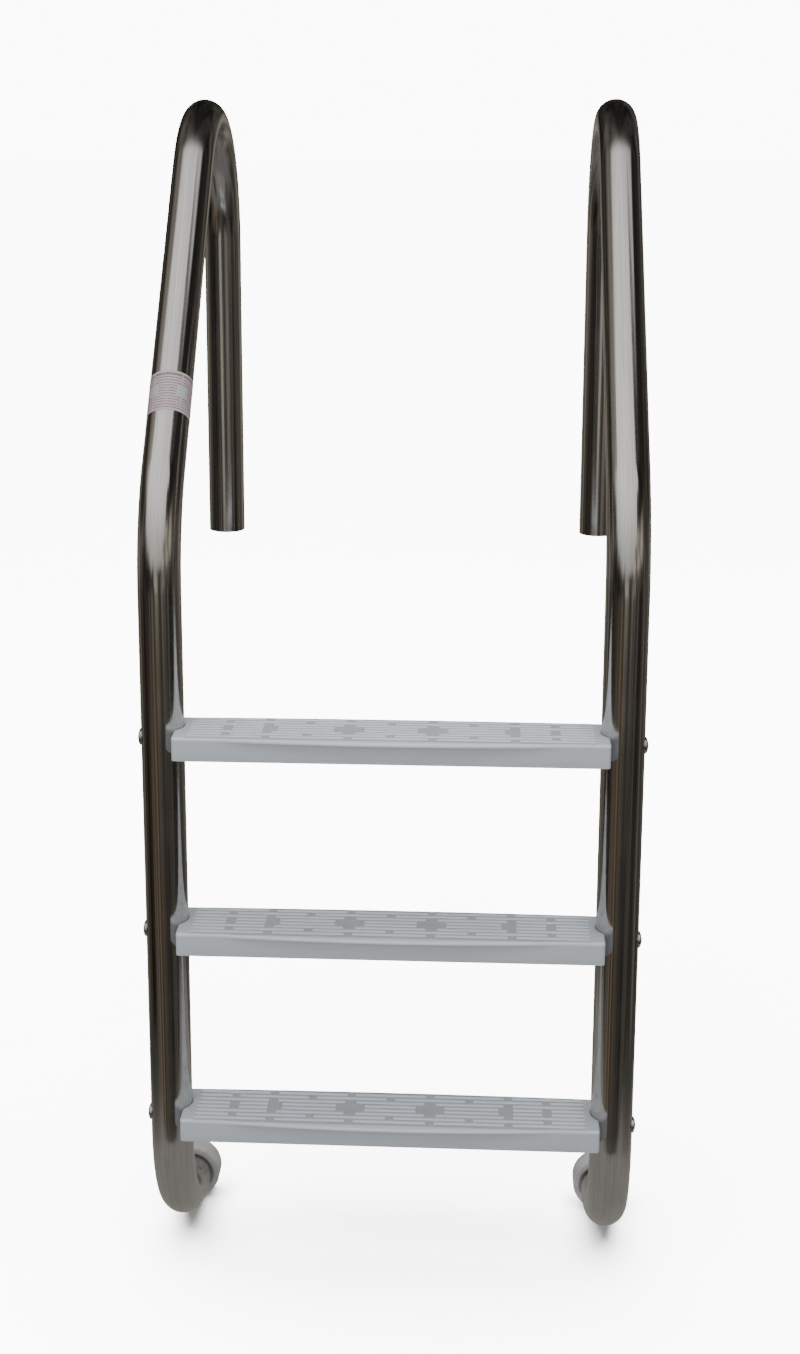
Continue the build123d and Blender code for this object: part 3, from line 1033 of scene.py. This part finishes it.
def strip_colours(tree, z, bearing):
    """Upright strips in layers from the ground to the tree tops, each streaked finely.

    Each layer takes over from the one below between two values of z, the heading's rise.
    """
    level = by_bearing(tree, bearing, NEAR_GROUND)
    layers = ((-0.31, -0.12, HORIZON), (0.02, 0.09, TREE_FEET), (0.34, 0.46, TREE_TOPS))
    for start, end, stops in layers:
        above = remap(tree, z, start, end, 0, 1)
        level = blend_colours(tree, above, level, by_bearing(tree, bearing, stops))
    place = combined(tree, bearing, maths(tree, "MULTIPLY", z, 0.09))
    streak = remap(tree, noise(tree, place, 33, 3, 0.75), 0.36, 0.66, -0.75, 0.95)
    streak = maths(tree, "MULTIPLY_ADD", streak, remap(tree, z, 0.70, 0.92, 1, 0), 1.0)
    level = scaled(tree, level, streak)
    warm = remap(tree, noise(tree, place, 14, 2), 0.40, 0.58, 0.2, 1)
    warm = maths(tree, "MULTIPLY", warm, remap(tree, bearing, 0.33, 0.27, 0, 1))
    warm = maths(tree, "MULTIPLY", warm, remap(tree, bearing, 0.03, 0.06, 0.25, 1))
    warm = maths(tree, "MULTIPLY", warm, remap(tree, z, -0.30, -0.18, 1, 0))
    tint = blend_colours(tree, warm, (1.05, 0.96, 0.84, 1), (1.14, 0.86, 0.58, 1))
    tinted = add_node(tree, "ShaderNodeVectorMath", {"operation": "MULTIPLY"}, {0: level, 1: tint})
    return tinted.outputs["Vector"]


def background(tree, colour, strength):
    inputs = {"Color": colour, "Strength": strength}
    return add_node(tree, "ShaderNodeBackground", {}, inputs).outputs[0]


def mix_shaders(tree, factor, first, second):
    """The first shader at a factor of 0 and the second at 1."""
    inputs = {0: factor, 1: first, 2: second}
    return add_node(tree, "ShaderNodeMixShader", {}, inputs).outputs[0]


def make_surroundings():
    """The world: what the steel mirrors, a soft fill on the rest, and a pale backdrop.

    The steel mirrors a sky behind the camera, and layers of strips below it.
    """
    world = bpy.data.worlds.new("studio")
    bpy.context.scene.world = world
    world.use_nodes = True
    tree = world.node_tree
    tree.nodes.clear()
    heading = add_node(tree, "ShaderNodeTexCoord", {}, {}).outputs["Generated"]
    x, y, z = split(tree, heading)
    bearing = maths(tree, "MULTIPLY_ADD", maths(tree, "ARCTAN2", x, y), 0.5 / math.pi, 0.5)
    glow = blend_colours(tree, remap(tree, z, 0.10, 0.85, 0, 1),
                         (0.62, 0.61, 0.59, 1), (1.22, 1.22, 1.21, 1))
    glow = scaled(tree, glow, remap(tree, x, -0.5, 0.6, 1.06, 0.86))
    low = strip_colours(tree, z, bearing)
    low = blend_colours(tree, remap(tree, z, -0.78, -0.46, 0, 1), (0.205, 0.19, 0.195, 1), low)
    studio = blend_colours(tree, sky_share(tree, x, y, z, bearing), low, glow)
    mirrored = background(tree, studio, 1.0)
    soft = background(tree, (1.0, 1.0, 1.0, 1), 0.40)
    pale = background(tree, (1.0, 1.0, 1.0, 1), 11.0)
    path = add_node(tree, "ShaderNodeLightPath", {}, {})
    lit = mix_shaders(tree, path.outputs["Is Glossy Ray"], soft, mirrored)
    seen = mix_shaders(tree, path.outputs["Is Camera Ray"], lit, pale)
    add_node(tree, "ShaderNodeOutputWorld", {}, {"Surface": seen})


def make_ground_patch():
    """The warm grey mat under the toes, which only the steel mirrors."""
    patch = make_sheet("studio_mat", MAT_HALF_WIDTH, MAT_FRONT, MAT_BACK, MAT_LIFT)
    material = bpy.data.materials.new("studio_mat")
    material.use_nodes = True
    tree = material.node_tree
    tree.nodes.clear()
    place = object_place(tree)
    colour = blend_colours(tree, noise(tree, place, 14, 3),
                           (0.25, 0.24, 0.225, 1), (0.31, 0.30, 0.28, 1))
    across = maths(tree, "ABSOLUTE", split(tree, place)[0])
    fade = remap(tree, across, 0.42, 0.78, 1, 0.25)
    glow = add_node(tree, "ShaderNodeEmission", {}, {"Color": colour, "Strength": fade})
    add_node(tree, "ShaderNodeOutputMaterial", {}, {"Surface": glow.outputs[0]})
    patch.data.materials.append(material)
    patch.visible_camera = False
    patch.visible_diffuse = False
    patch.visible_shadow = False


def make_camera():
    """Camera a little above the arches' height, looking down at the treads."""
    yaw, pitch, roll = CAMERA_YAW, CAMERA_PITCH, CAMERA_ROLL
    ahead = math.cos(pitch)
    forward = Vector((math.sin(yaw) * ahead, math.cos(yaw) * ahead, -math.sin(pitch)))
    level = Vector((math.cos(yaw), -math.sin(yaw), 0))
    upright = level.cross(forward)
    right = level * math.cos(roll) + upright * math.sin(roll)
    up = upright * math.cos(roll) - level * math.sin(roll)
    turn = Matrix((right, up, -forward)).transposed().to_4x4()
    data = bpy.data.cameras.new("camera")
    data.sensor_fit = "VERTICAL"
    data.sensor_height = CAMERA_SENSOR
    data.lens = CAMERA_LENS
    data.shift_x, data.shift_y = CAMERA_SHIFT
    data.dof.use_dof = False
    camera = bpy.data.objects.new("camera", data)
    camera.matrix_world = Matrix.Translation(CAMERA_PLACE) @ turn
    bpy.context.scene.collection.objects.link(camera)
    bpy.context.scene.camera = camera


# ---------------------------------------------------------------------------------------
# Build
# ---------------------------------------------------------------------------------------

rail_steel = steel_material()
for side_name in SIDES:
    make_rail(side_name, rail_steel)
make_treads(tread_material())
vinyl = bumper_material()
for side_name in SIDES:
    make_bumper(side_name, vinyl)
make_label(label_material())

fastener_steel = fastener_material()
for level in LEVELS:
    for side_name in SIDES:
        for kind in ("bolt", "washer", "nut"):
            node = frame["nodes"][f"{level}_{side_name}_{kind}"]
            node.data.materials.clear()
            node.data.materials.append(fastener_steel)

make_camera()
make_lights(make_floor())
make_ground_patch()
make_surroundings()
